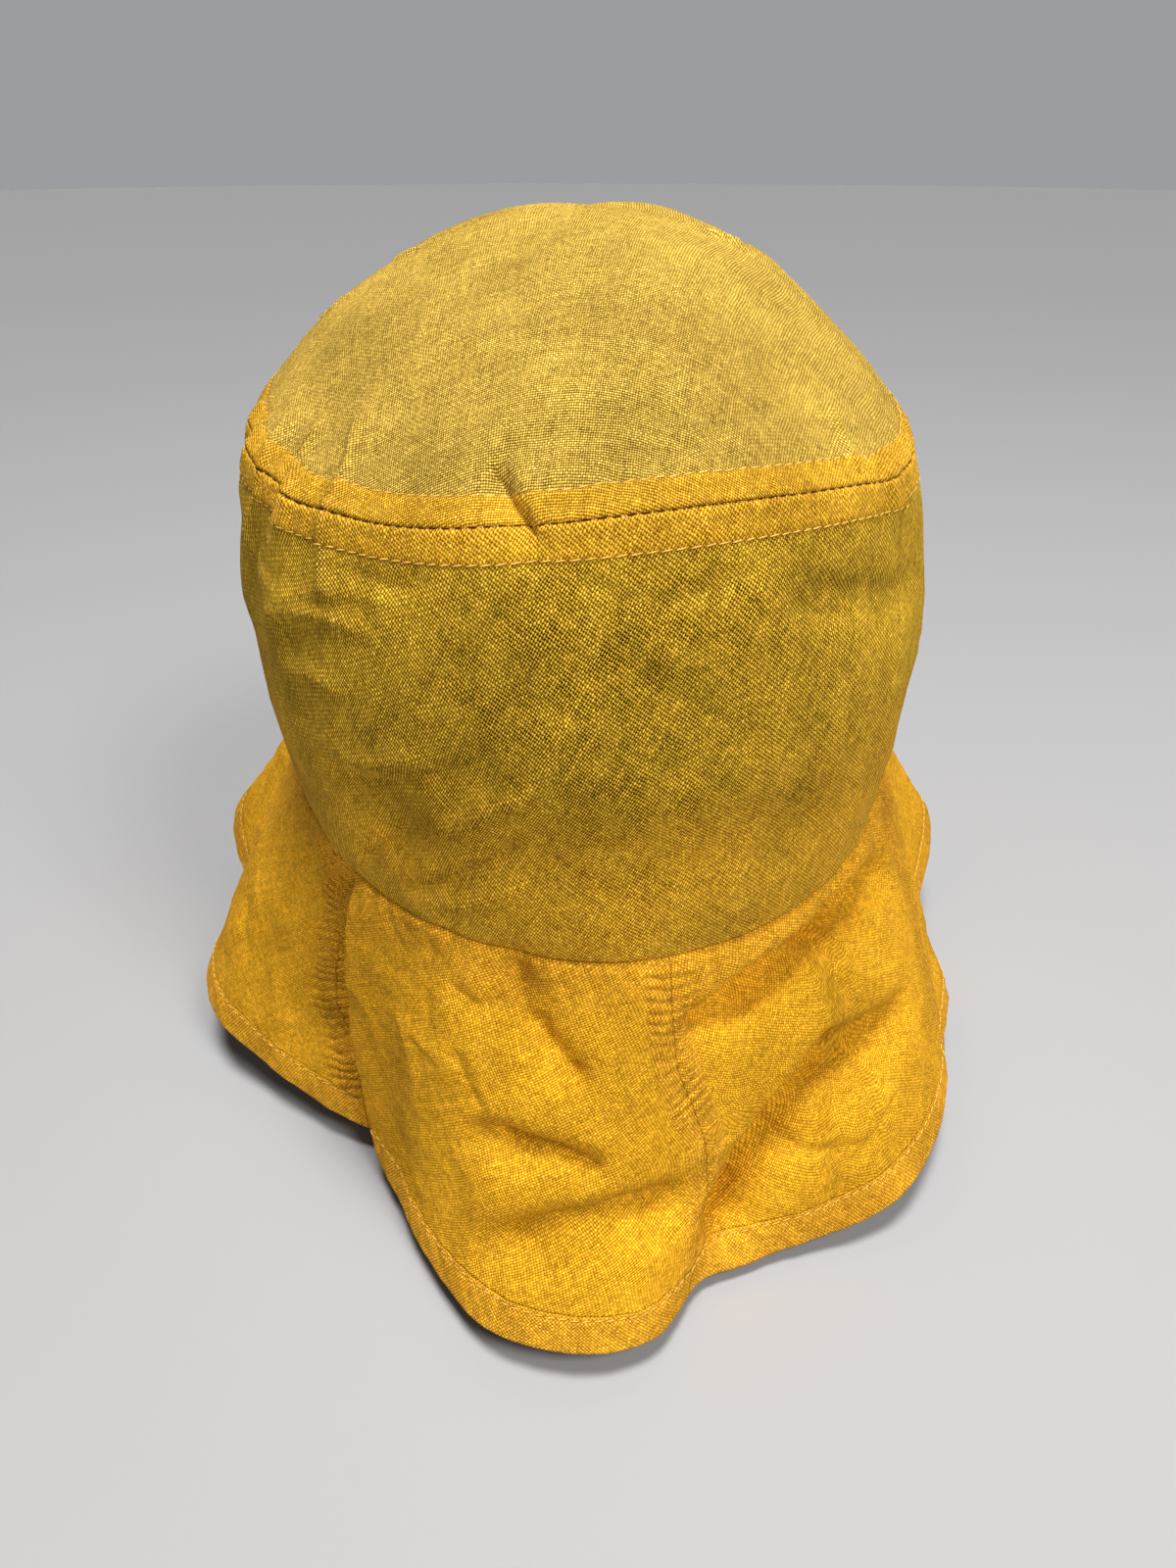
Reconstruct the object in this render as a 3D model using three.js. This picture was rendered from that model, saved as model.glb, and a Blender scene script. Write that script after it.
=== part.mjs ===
// A soft linen sun hat in millimetres, held up in its worn shape.
// Up is +Z, the front is -Y and +X is on the right of the front view.
// The origin is the middle of the head opening, level with the seam between crown and brim.
// Every piece is a wall laid about one middle surface that runs from the crown's centre to the hem.
import * as THREE from "three";
import { ParametricGeometry } from "three/addons/geometries/ParametricGeometry.js";
import { mergeVertices } from "three/addons/utils/BufferGeometryUtils.js";

// Cloth and seams
const CLOTH = 1.2;
const TAPE_CLOTH = 1.0;
const HEM_CLOTH = 2 * CLOTH;
const SEAM_GAP = 0.3;
const TOP_ALLOWANCE = 6.5;
const GORE_ALLOWANCE = 6.9;
const HEM_WIDTH = 10;

// The oval openings, half sizes
const OPENING_LENGTH = 102.5;
const OPENING_WIDTH = 84.8;
const TIP_LENGTH = 101.3;
const TIP_WIDTH = 84.4;
const TIP_SHIFT = 1.2;

// Heights and lengths
const BAND_HEIGHT = 99;
const BAND_BULGE = 6;
const TIP_RISE = 49;
const TIP_ROUNDNESS = 2.15;
const BRIM_LENGTH = 102;

// Six brim panels are cut alike, and the first seam is a little to the right of the front
const PANELS = 6;
const PANEL_TURN = 360 / PANELS;
const FIRST_SEAM = 12;
const MEAN_RADIUS = (OPENING_LENGTH + OPENING_WIDTH) / 2;
const TAPE_TURN = THREE.MathUtils.radToDeg(GORE_ALLOWANCE / MEAN_RADIUS);

// How far the hem stands out from the brim seam, as a share of the brim length, by turn from the front
const HEM_REACH = [
  { turn: -180, reach: 0.5 },
  { turn: -150, reach: 0.36 },
  { turn: -121, reach: 0.7 },
  { turn: -103, reach: 0.42 },
  { turn: -88, reach: 0.45 },
  { turn: -80, reach: 0.4 },
  { turn: -72, reach: 0.265 },
  { turn: -62, reach: 0.125 },
  { turn: -52, reach: 0.04 },
  { turn: -44, reach: 0.005 },
  { turn: -36, reach: 0.05 },
  { turn: -28, reach: 0.14 },
  { turn: -19, reach: 0.245 },
  { turn: -11, reach: 0.333 },
  { turn: -2, reach: 0.368 },
  { turn: 6, reach: 0.343 },
  { turn: 12, reach: 0.275 },
  { turn: 19, reach: 0.2 },
  { turn: 28, reach: 0.186 },
  { turn: 37, reach: 0.25 },
  { turn: 45, reach: 0.328 },
  { turn: 56, reach: 0.349 },
  { turn: 66, reach: 0.335 },
  { turn: 74, reach: 0.318 },
  { turn: 85, reach: 0.345 },
  { turn: 99, reach: 0.3 },
  { turn: 121, reach: 0.65 },
  { turn: 150, reach: 0.36 },
];

// Waves in the two seams' heights, as shares of the band's height, by how often they repeat around the hat
const BRIM_SEAM_WAVES = [
  { times: 2, cosine: -0.048, sine: -0.018 },
];
const TOP_SEAM_WAVES = [
  { times: 2, cosine: -0.016, sine: -0.005 },
  { times: 3, cosine: 0.026, sine: 0.035 },
];

// Folds and dents on the crown and brim, as straight runs.
// A row counts from 0 at the crown's centre to 1 at its top seam, 2 at the brim seam and 3 at the hem.
// Depths and widths are shares of the band's height on the crown and of the brim's length on the brim.
const FOLDS = [
  { name: "shelf under the seam", turn: 60, row: 2.16, toTurn: 42, toRow: 2.09, depth: -0.031, width: 0.09 },
  { name: "shelf runs down", turn: 42, row: 2.09, toTurn: 19, toRow: 2.2, depth: -0.031, width: 0.09 },
  { name: "right valley", turn: 57, row: 2.44, toTurn: 35, toRow: 2.43, depth: -0.035, width: 0.1 },
  { name: "right valley runs down", turn: 35, row: 2.43, toTurn: 15, toRow: 2.8, depth: -0.035, width: 0.1 },
  { name: "front pinch", turn: -10, row: 2.07, toTurn: -1, toRow: 2.27, depth: -0.024, width: 0.08 },
  { name: "front upper arc", turn: -20, row: 2.33, toTurn: 3, toRow: 2.46, depth: -0.025, width: 0.09 },
  { name: "front lower arc", turn: -13, row: 2.7, toTurn: 10, toRow: 2.54, depth: -0.031, width: 0.09 },
  { name: "front lobe swells", turn: -8, row: 2.82, toTurn: 4, toRow: 2.82, depth: 0.018, width: 0.14 },
  { name: "ridge beside the left seam", turn: -46, row: 2.1, toTurn: -44, toRow: 2.8, depth: 0.029, width: 0.09 },
  { name: "left panel hollow", turn: -62, row: 2.2, toTurn: -60, toRow: 2.75, depth: -0.022, width: 0.1 },
  { name: "tuck at the top seam", turn: -13, row: 0.9, toTurn: -7, toRow: 1.05, depth: -0.02, width: 0.07 },
  { name: "left gather", turn: -44, row: 0.9, toTurn: -52, toRow: 1.35, depth: 0.02, width: 0.08 },
  { name: "left gather, outer", turn: -60, row: 0.92, toTurn: -72, toRow: 1.4, depth: 0.02, width: 0.08 },
  { name: "right corner fold", turn: 44, row: 0.86, toTurn: 52, toRow: 1.04, depth: 0.018, width: 0.08 },
  { name: "right band fold", turn: 28, row: 1.2, toTurn: 62, toRow: 1.28, depth: -0.02, width: 0.09 },
  { name: "low left band fold", turn: -36, row: 1.68, toTurn: -16, toRow: 1.52, depth: -0.018, width: 0.09 },
];

// The top seam's allowance as a share of the tip, which slopes steeply at its rim, and of the band
const TIP_RIM_LENGTH = Math.hypot((TIP_LENGTH + TIP_WIDTH) / 2, TIP_RISE * TIP_ROUNDNESS);
const TIP_ALLOWANCE = TOP_ALLOWANCE / TIP_RIM_LENGTH;
const BAND_ALLOWANCE = TOP_ALLOWANCE / BAND_HEIGHT;
const HEM_SHARE = HEM_WIDTH / BRIM_LENGTH;

// Rows of vertices along each piece
const TIP_ROWS = [0, 0.2, 0.4, 0.58, 0.73, 0.86, 1 - TIP_ALLOWANCE, 1];
const BAND_ROWS = [0, BAND_ALLOWANCE, 0.25, 0.45, 0.65, 0.84, 1];
const BRIM_ROWS = [0, 0.1, 0.22, 0.34, 0.46, 0.58, 0.7, 0.81, 1 - HEM_SHARE];
const CROWN_STEPS = 84;
const PANEL_STEPS = 16;

const radians = THREE.MathUtils.degToRad;

// A smooth closed curve through the rows of a table
function around(table, column, turn) {
  const place = THREE.MathUtils.euclideanModulo(turn - table[0].turn, 360) + table[0].turn;
  let low = table.length - 1;
  while (table[low].turn > place) low -= 1;
  const entry = (step) => {
    const index = low + step;
    const lap = Math.floor(index / table.length);
    const row = table[THREE.MathUtils.euclideanModulo(index, table.length)];
    return { turn: row.turn + 360 * lap, value: row[column] };
  };
  const [before, start, end, after] = [entry(-1), entry(0), entry(1), entry(2)];
  const span = end.turn - start.turn;
  const u = (place - start.turn) / span;
  const leave = ((end.value - before.value) / (end.turn - before.turn)) * span;
  const arrive = ((after.value - start.value) / (after.turn - start.turn)) * span;
  const hold = 2 * u ** 3 - 3 * u ** 2;
  return (
    (hold + 1) * start.value +
    (u ** 3 - 2 * u ** 2 + u) * leave -
    hold * end.value +
    (u ** 3 - u ** 2) * arrive
  );
}

function wave(table, turn) {
  let height = 0;
  for (const { times, cosine, sine } of table) {
    height += cosine * Math.cos(radians(times * turn)) + sine * Math.sin(radians(times * turn));
  }
  return height * BAND_HEIGHT;
}

// The level direction square to the head opening
function outward(turn) {
  const angle = radians(turn);
  return new THREE.Vector3(
    OPENING_LENGTH * Math.sin(angle),
    -OPENING_WIDTH * Math.cos(angle),
    0,
  ).normalize();
}

function brimSeam(turn) {
  const angle = radians(turn);
  return new THREE.Vector3(
    OPENING_WIDTH * Math.sin(angle),
    -OPENING_LENGTH * Math.cos(angle),
    wave(BRIM_SEAM_WAVES, turn),
  );
}

function topSeam(turn) {
  const angle = radians(turn);
  return new THREE.Vector3(
    TIP_WIDTH * Math.sin(angle) - TIP_SHIFT,
    -TIP_LENGTH * Math.cos(angle),
    BAND_HEIGHT + wave(TOP_SEAM_WAVES, turn),
  );
}

function tipPoint(turn, share) {
  const point = topSeam(turn);
  const rim = point.z - BAND_HEIGHT;
  return point.set(
    point.x * share,
    point.y * share,
    BAND_HEIGHT + rim * share + TIP_RISE * (1 - share ** TIP_ROUNDNESS),
  );
}

function bandPoint(turn, share) {
  const point = topSeam(turn).lerp(brimSeam(turn), share);
  return point.addScaledVector(outward(turn), BAND_BULGE * Math.sin(Math.PI * share));
}

// The brim keeps its length: where it reaches out further it falls less.
const FALL_STEPS = 24;
function brimPoint(turn, share) {
  const reach = BRIM_LENGTH * around(HEM_REACH, "reach", turn);
  const ease = 0.95 + 0.2 * Math.cos(radians(turn));
  const length = BRIM_LENGTH / FALL_STEPS;
  let out = 0;
  let drop = 0;
  for (let step = 1; step <= FALL_STEPS; step += 1) {
    const next = reach * (step / FALL_STEPS) ** ease;
    const part = THREE.MathUtils.clamp(share * FALL_STEPS - step + 1, 0, 1);
    drop += part * Math.sqrt(Math.max(length ** 2 - (next - out) ** 2, 0));
    out = next;
  }
  const point = brimSeam(turn).addScaledVector(outward(turn), reach * share ** ease);
  point.z -= drop;
  return point;
}

// How far the folds move the cloth in or out at a place
function foldDepth(turn, row) {
  const perTurn = radians(OPENING_LENGTH);
  let depth = 0;
  for (const fold of FOLDS) {
    const away = [(turn - fold.turn) * perTurn, (row - fold.row) * BRIM_LENGTH];
    const run = [(fold.toTurn - fold.turn) * perTurn, (fold.toRow - fold.row) * BRIM_LENGTH];
    const along = (away[0] * run[0] + away[1] * run[1]) / (run[0] ** 2 + run[1] ** 2);
    const held = THREE.MathUtils.clamp(along, 0, 1);
    const gap = Math.hypot(away[0] - held * run[0], away[1] - held * run[1]);
    const size = fold.row < 2 ? BAND_HEIGHT : BRIM_LENGTH;
    depth += fold.depth * size * Math.exp(-((gap / (fold.width * size)) ** 2));
  }
  return depth;
}

function clothPoint(turn, row) {
  const heading = THREE.MathUtils.euclideanModulo(turn + 180, 360) - 180;
  let point;
  if (row < 1) point = tipPoint(heading, row);
  else if (row < 2) point = bandPoint(heading, row - 1);
  else point = brimPoint(heading, row - 2);
  const push = outward(heading).multiplyScalar(foldDepth(heading, row) * Math.min(row, 1));
  return point.add(push);
}

// The direction out of the cloth, taken over a few millimetres so that pieces agree along a seam
const NORMAL_TURN = 1.2;
const NORMAL_ROW = 0.02;
function clothNormal(turn, row) {
  if (row < NORMAL_ROW) return new THREE.Vector3(0, 0, 1);
  const sideways = clothPoint(turn + NORMAL_TURN, row).sub(clothPoint(turn - NORMAL_TURN, row));
  const lower = clothPoint(turn, Math.min(row + NORMAL_ROW, 3));
  const upwards = clothPoint(turn, row - NORMAL_ROW).sub(lower);
  return sideways.cross(upwards).normalize();
}

// A closed wall about the middle surface, from one row to another, all the way round or over a few turns.
// "depth" is how far the wall's middle lies inside the cloth's own middle.
function wall({ turns, rows, thickness, depth = 0 }) {
  const closed = turns.at(-1) - turns[0] > 359.9;
  const last = rows.length - 1;
  const stations = closed ? turns : [turns[0], ...turns, turns.at(-1)];
  const pole = rows[0] === 0;
  const layers = pole ? 2 * last + 1 : 2 * last + 2;
  const place = (u, v, target) => {
    const station = Math.round(u * (stations.length - 1));
    const layer = Math.round(v * layers) % (2 * last + 2);
    const inside = layer > last;
    // The loop climbs the outer face and comes down the inner one; a pole starts inside.
    const step = pole ? Math.abs(layer - last - (layer > last ? 1 : 0)) : 0;
    const row = pole ? rows[last - step] : rows[inside ? layer - last - 1 : last - layer];
    const outer = pole ? inside : !inside;
    const flat = !closed && (station === 0 || station === stations.length - 1);
    const side = flat ? 0 : outer ? thickness / 2 : -thickness / 2;
    const turn = stations[station];
    target.copy(clothPoint(turn, row));
    target.addScaledVector(clothNormal(turn, row), side - depth);
  };
  const grid = new ParametricGeometry(place, stations.length - 1, layers);
  matchDiagonals(grid, stations.length - 1, pole ? 0 : last + 1, last);
  return weld(grid);
}

// Splits the inner face's cells across the same corners as the outer face's, so that walls lie parallel
function matchDiagonals(grid, across, firstLayer, layers) {
  const corners = grid.index.array;
  for (let cell = firstLayer * across; cell < (firstLayer + layers) * across; cell += 1) {
    const [a, b, d, , c] = corners.slice(6 * cell, 6 * cell + 5);
    corners.set([a, b, c, a, c, d], 6 * cell);
  }
}

// Joins the grid's shared vertices and leaves out triangles that have no area
function weld(grid) {
  grid.deleteAttribute("normal");
  grid.deleteAttribute("uv");
  const joined = mergeVertices(grid, 1e-3);
  const corners = [];
  const index = joined.index.array;
  for (let first = 0; first < index.length; first += 3) {
    const [a, b, c] = index.slice(first, first + 3);
    if (a !== b && b !== c && c !== a) corners.push(a, b, c);
  }
  joined.setIndex(corners);
  joined.computeVertexNormals();
  return joined;
}

// Half a seam gap, as a share of each cloth and as a turn
const TIP_GAP = SEAM_GAP / 2 / TIP_RIM_LENGTH;
const BAND_GAP = SEAM_GAP / 2 / BAND_HEIGHT;
const BRIM_GAP = SEAM_GAP / 2 / BRIM_LENGTH;
const GAP_TURN = THREE.MathUtils.radToDeg(SEAM_GAP / 2 / OPENING_WIDTH);

// Rows between two ends, drawn in by half a seam gap at each end that meets another piece
function rowsBetween(start, shares, startGap, endGap) {
  const from = shares[0] + startGap;
  const to = shares.at(-1) - endGap;
  return shares.map((share) => start + THREE.MathUtils.clamp(share, from, to));
}

function evenTurns(steps) {
  return Array.from({ length: steps + 1 }, (_, step) => -180 + (360 * step) / steps);
}

// The turns of one panel: one step as wide as the tape beside each seam, and even steps between
function panelTurns(seam) {
  const turns = [seam + GAP_TURN];
  const span = PANEL_TURN - 2 * TAPE_TURN;
  for (let step = 0; step <= PANEL_STEPS - 2; step += 1) {
    turns.push(seam + TAPE_TURN + (span * step) / (PANEL_STEPS - 2));
  }
  turns.push(seam + PANEL_TURN - GAP_TURN);
  return turns;
}

const hat = new THREE.Group();
hat.name = "sun_hat";

function add(name, geometry, colour) {
  const material = new THREE.MeshStandardMaterial({ color: colour, roughness: 0.9 });
  material.name = name;
  const mesh = new THREE.Mesh(geometry, material);
  mesh.name = name;
  hat.add(mesh);
}

const crownTurns = evenTurns(CROWN_STEPS);
add("crown_tip", wall({
  turns: crownTurns,
  rows: rowsBetween(0, TIP_ROWS, 0, TIP_GAP),
  thickness: CLOTH,
}), 0xd9ae45);
add("crown_band", wall({
  turns: crownTurns,
  rows: rowsBetween(1, BAND_ROWS, BAND_GAP, BAND_GAP),
  thickness: CLOTH,
}), 0xc79a2c);

// The pressed-open allowances behind the top seam lie just inside the crown
const TAPE_DEPTH = CLOTH / 2 + SEAM_GAP + TAPE_CLOTH / 2;
add("top_seam_tape", wall({
  turns: crownTurns,
  rows: [1 - TIP_ALLOWANCE, 1, 1 + BAND_ALLOWANCE],
  thickness: TAPE_CLOTH,
  depth: TAPE_DEPTH,
}), 0xe0a531);

// The brim's panels, their seam tapes and the folded hem along the edge
const brimRows = rowsBetween(2, BRIM_ROWS, BRIM_GAP, BRIM_GAP);
const hemTurns = [];
for (let panel = 0; panel < PANELS; panel += 1) {
  const seam = FIRST_SEAM + panel * PANEL_TURN;
  const turns = panelTurns(seam);
  hemTurns.push(seam, ...turns.slice(1, -1));
  add(`brim_panel_${panel + 1}`, wall({
    turns,
    rows: brimRows,
    thickness: CLOTH,
  }), 0xe6b03a);
  add(`gore_seam_tape_${panel + 1}`, wall({
    turns: [seam - TAPE_TURN, seam, seam + TAPE_TURN],
    rows: brimRows.slice(1),
    thickness: TAPE_CLOTH,
    depth: TAPE_DEPTH,
  }), 0xdca233);
}
hemTurns.push(FIRST_SEAM + 360);
add("brim_hem", wall({
  turns: hemTurns,
  rows: [3 - HEM_SHARE + BRIM_GAP, 3 - HEM_SHARE / 2, 3],
  thickness: HEM_CLOTH,
}), 0xe8b23c);

export default hat;
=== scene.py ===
"""A soft linen sun hat, held up in its worn shape: crown tip, crown band, six brim panels and a folded hem."""
import math

import bmesh
import bpy
import numpy as np
from mathutils import Matrix, Vector


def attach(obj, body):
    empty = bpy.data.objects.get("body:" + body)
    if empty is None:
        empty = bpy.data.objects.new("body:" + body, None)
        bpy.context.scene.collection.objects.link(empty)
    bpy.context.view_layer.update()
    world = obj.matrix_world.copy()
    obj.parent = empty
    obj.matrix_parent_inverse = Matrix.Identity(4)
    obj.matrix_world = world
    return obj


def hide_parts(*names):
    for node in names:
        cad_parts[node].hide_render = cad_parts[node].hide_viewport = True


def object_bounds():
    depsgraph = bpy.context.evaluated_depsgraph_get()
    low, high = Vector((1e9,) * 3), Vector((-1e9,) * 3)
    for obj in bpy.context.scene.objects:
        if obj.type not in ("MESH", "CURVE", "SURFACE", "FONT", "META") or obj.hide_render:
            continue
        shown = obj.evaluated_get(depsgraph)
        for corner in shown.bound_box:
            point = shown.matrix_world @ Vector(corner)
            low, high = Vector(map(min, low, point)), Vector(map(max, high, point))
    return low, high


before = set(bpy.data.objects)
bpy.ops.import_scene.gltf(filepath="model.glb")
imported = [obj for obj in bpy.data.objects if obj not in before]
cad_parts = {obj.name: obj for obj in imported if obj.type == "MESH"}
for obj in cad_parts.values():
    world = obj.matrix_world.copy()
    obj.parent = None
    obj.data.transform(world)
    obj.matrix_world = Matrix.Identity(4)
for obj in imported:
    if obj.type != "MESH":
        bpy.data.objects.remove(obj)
cad_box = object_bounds()

# Sizes in metres, as in the part
OPENING_LENGTH = 0.1025
OPENING_WIDTH = 0.0848
TIP_LENGTH = 0.1013
TIP_WIDTH = 0.0844
TIP_SHIFT = 0.0012
BAND_HEIGHT = 0.099
BAND_BULGE = 0.006
TIP_RISE = 0.049
TIP_ROUNDNESS = 2.15
BRIM_LENGTH = 0.0995
HEM_WIDTH = 0.010
TOP_ALLOWANCE = 0.0065
GORE_ALLOWANCE = 0.0069
FIRST_SEAM = 12
PANEL_TURN = 60
MEAN_RADIUS = (OPENING_LENGTH + OPENING_WIDTH) / 2
TIP_RIM_LENGTH = math.hypot((TIP_LENGTH + TIP_WIDTH) / 2, TIP_RISE * TIP_ROUNDNESS)
HEM_SHARE = HEM_WIDTH / BRIM_LENGTH

# The cloth as it shows
CLOTH_THICKNESS = 0.0009
HEM_THICKNESS = 0.0020
TAPE_THICKNESS = 0.0007
TIP_PITCH = (0.00067, 0.00060)
BAND_PITCH = (0.00076, 0.00058)
BRIM_PITCH = (0.00072, 0.00064)
STITCH_PITCH = 0.0030
TOP_STITCH_LINE = TOP_ALLOWANCE + 0.0002
HEM_STITCH_LINE = HEM_WIDTH - 0.0009

# How the grids crowd their rows: a share of the grid, then the share of the cloth that it reaches
TIP_ROWS = ((0, 0), (0.8, 0.87), (1, 1))
BAND_ROWS = ((0, 0), (0.14, 0.09), (0.96, 0.975), (1, 1))
PANEL_ROWS = ((0, 0), (0.06, 0.04), (1, 1))

# How far the hem stands out, as a share of the brim length, by turn from the front
HEM_REACH = (
    (-180, 0.5), (-150, 0.36), (-121, 0.7), (-103, 0.42), (-88, 0.45), (-80, 0.4), (-72, 0.265),
    (-62, 0.125), (-52, 0.04), (-44, 0.005), (-36, 0.05), (-28, 0.14), (-19, 0.245), (-11, 0.333),
    (-2, 0.368), (6, 0.343), (12, 0.275), (19, 0.2), (28, 0.186), (37, 0.25), (45, 0.328),
    (56, 0.349), (66, 0.335), (74, 0.318), (85, 0.345), (99, 0.3), (121, 0.65), (150, 0.36),
)

# The two seams' waves: how often, then the cosine's and sine's shares of the band's height
BRIM_SEAM_WAVES = ((2, -0.048, -0.018),)
TOP_SEAM_WAVES = ((2, -0.016, -0.005), (3, 0.026, 0.035))

# The part's folds: turn, row, end turn, end row, then depth and width as shares of the cloth's length
FOLDS = (
    (58, 2.05, 24, 2.07, 0.022, 0.05),
    (62, 2.19, 44, 2.13, -0.064, 0.052),
    (44, 2.13, 17, 2.21, -0.064, 0.052),
    (57, 2.58, 41, 2.51, -0.055, 0.058),
    (41, 2.5, 21, 2.8, -0.068, 0.06),
    (21, 2.8, 15, 3.0, -0.052, 0.1),
    (-12, 2.05, -3, 2.3, -0.026, 0.07),
    (-14, 2.52, -2, 2.53, -0.028, 0.06),
    (-12, 2.8, 10, 2.69, -0.036, 0.075),
    (-8, 2.9, 4, 2.9, 0.010, 0.1),
    (-62, 2.2, -60, 2.75, -0.022, 0.1),
    (-12, 0.96, -7, 1.04, -0.014, 0.05),
    (-44, 0.9, -52, 1.35, 0.02, 0.08),
    (-60, 0.92, -72, 1.4, 0.02, 0.08),
    (44, 0.86, 52, 1.04, 0.018, 0.08),
    (30, 1.2, 58, 1.27, -0.012, 0.05),
    (-36, 1.68, -16, 1.52, -0.018, 0.09),
    (-30, 1.74, 32, 1.74, -0.032, 0.12),
)

# Folds pull the brim's seams sideways: the seam's turn, then its sideways turn at rows down the brim
SEAM_DRIFT = {
    12: (
        (2.0, 0.5), (2.17, 0.5), (2.31, 1.0), (2.41, 3.0), (2.54, 5.0), (2.67, 5.0), (2.79, 4.0), (2.89, 2.5),
        (3.0, 1.0),
    ),
    -48: (
        (2.0, -3.5), (2.14, -5.0), (2.29, -7.5), (2.48, -9.5), (2.6, -9.5), (2.7, -8.0), (2.8, -5.0), (3.0, -2.0),
    ),
    72: ((2.0, -0.5), (2.15, 4.0), (2.48, 3.0), (2.75, 1.0), (3.0, 0.0)),
}

# How each cut lies on the cloth's grain: the two ways in which thread follows thread, in degrees
# from the cut's own level line. The band and the brim's panels are cut on the bias.
TIP_GRAIN = (9, 97)
BAND_GRAIN = (48, -29)
PANEL_GRAIN = ((60, -36), (42, -48), (50, -40), (38, -52), (48, -42), (31, -57))
HEM_GRAIN = (46, -47)

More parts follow.
